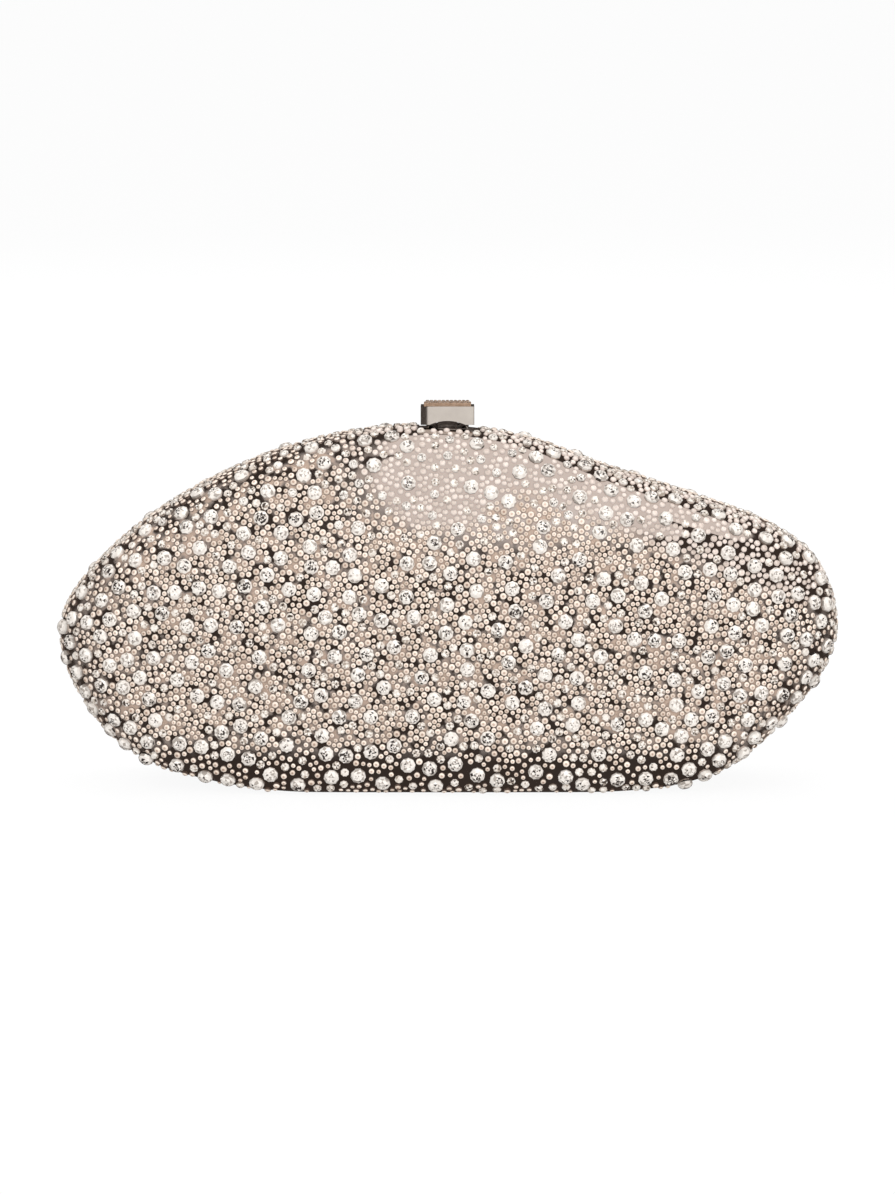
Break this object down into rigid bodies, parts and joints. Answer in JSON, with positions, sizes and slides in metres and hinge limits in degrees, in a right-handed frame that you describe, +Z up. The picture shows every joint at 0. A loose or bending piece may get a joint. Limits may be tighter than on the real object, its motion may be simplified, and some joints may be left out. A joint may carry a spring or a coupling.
{
  "type": "minaudiere",
  "caption": "Hard evening clutch in two hinged pebble-shaped metal halves covered in crystals, closed by a pivoting lever clasp on top.",
  "frame": {"origin": "centre of the bottom of the bounding box, on the surface that the case stands on", "axes": "+X to the right-hand end seen from the front, -Y out of the front face, +Z up to the clasp"},
  "size_m": [0.1991, 0.0503, 0.098],
  "materials": {
    "case_metal": "mirror-polished pale champagne silver, under beads and stones",
    "frame_metal": "satin",
    "lining": "soft pale champagne leather",
    "hinge_metal": "fine satin",
    "pin_metal": "polished",
    "rivet_metal": "polished",
    "clasp_metal": "mirror-polished silver",
    "spring_wire": "drawn wire",
    "tray_metal": "satin rose copper",
    "small_crystal": "cut and foil-backed",
    "large_crystal": "cut and foil-backed"
  },
  "bodies": {
    "rear_half": {"rear_shell": "case_metal", "rear_frame": "frame_metal", "rear_lining": "lining", "hinge_rear_leaf": "hinge_metal", "hinge_pin": "pin_metal", "hinge_rear_rivets": "rivet_metal", "clasp_bracket": "hinge_metal", "clasp_bracket_screws": "rivet_metal", "clasp_pivot_pin": "pin_metal", "clasp_spring": "spring_wire", "rear_crystals": "large_crystal"},
    "front_half": {"front_shell": "case_metal", "front_frame": "frame_metal", "front_lining": "lining", "hinge_front_leaf": "hinge_metal", "hinge_front_rivets": "rivet_metal", "strike_plate": "hinge_metal", "strike_rivets": "rivet_metal", "front_crystals": "large_crystal"},
    "lever": {"clasp_lever": "clasp_metal", "clasp_stone_tray": "tray_metal", "clasp_stones": "small_crystal"}
  },
  "joints": [
    {"name": "case_hinge", "type": "hinge", "parent": "rear_half", "child": "front_half", "pos_m": [0, 0, 0.0017], "axis": [1, 0, 0], "range_deg": [0, 70]},
    {"name": "clasp_pivot", "type": "hinge", "parent": "rear_half", "child": "lever", "pos_m": [0, 0.0026, 0.094], "axis": [-1, 0, 0], "range_deg": [0, 14], "stiffness_Nm_per_rad": 0.03, "springref_deg": -17.19, "deforming": ["clasp_spring"]}
  ]
}
